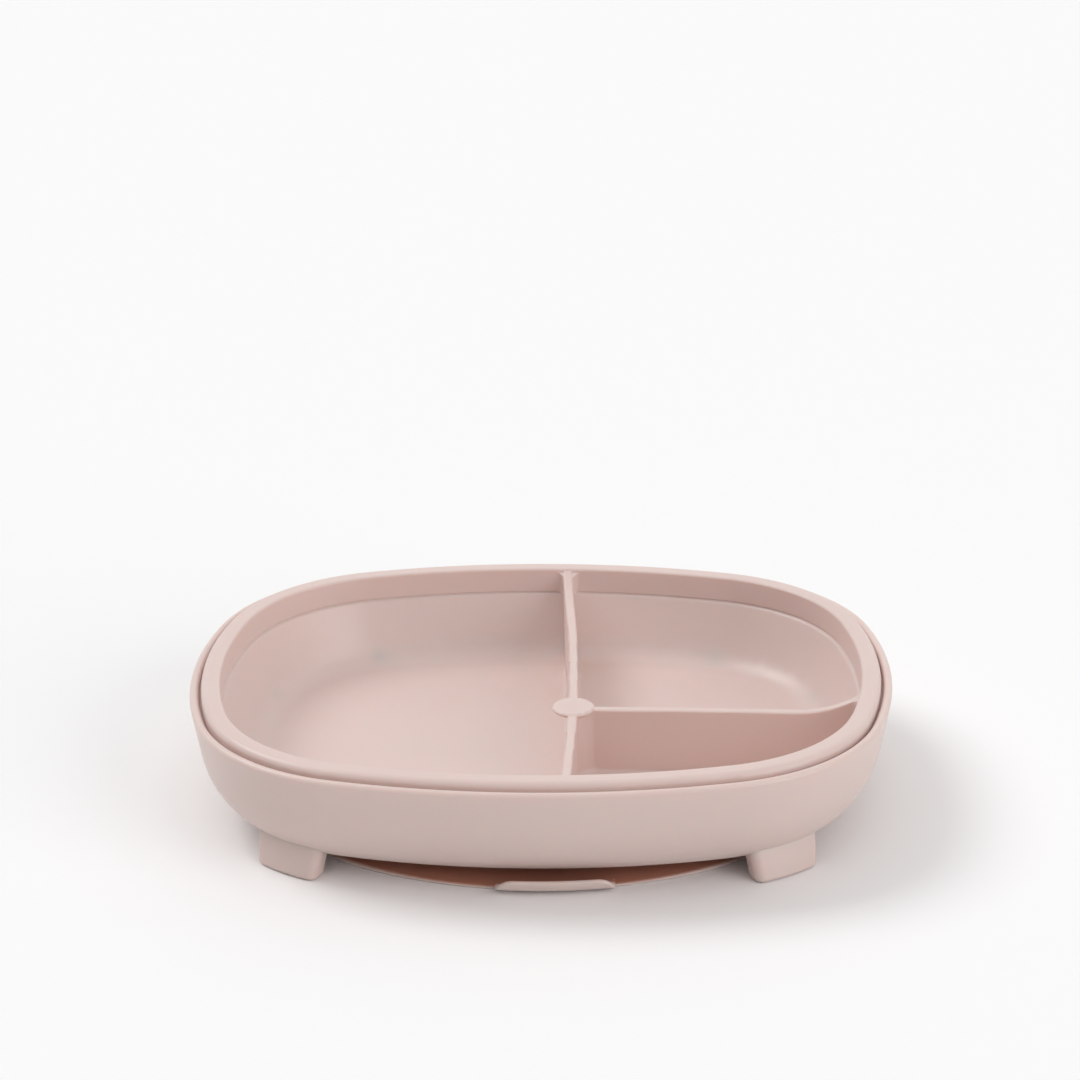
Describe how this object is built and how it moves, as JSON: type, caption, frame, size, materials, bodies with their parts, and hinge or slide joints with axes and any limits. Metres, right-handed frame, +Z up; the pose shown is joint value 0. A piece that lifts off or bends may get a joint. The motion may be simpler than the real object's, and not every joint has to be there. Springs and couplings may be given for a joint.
{
  "type": "baby suction plate",
  "caption": "Divided feeding plate for a baby: a soft tray with three deep compartments nested in a footed outer shell, over a wide suction base with a release tab.",
  "frame": {"origin": "the point on the table under the middle of the plate, at the centre of the bottom of its bounding box", "axes": "+X along the long side, to the right for a person facing the release tab; +Y to the back, away from the release tab; +Z up, out of the open compartments"},
  "size_m": [0.2192, 0.1798, 0.0403],
  "materials": {
    "tray_silicone": "matte pale dusty-rose silicone",
    "shell_silicone": "matte pale dusty-rose silicone",
    "base_silicone": "matte pale dusty-rose silicone, slightly smoother than the shell"
  },
  "bodies": {
    "root": {"divided_tray": "tray_silicone", "outer_shell": "shell_silicone", "suction_base": "base_silicone"}
  },
  "joints": []
}
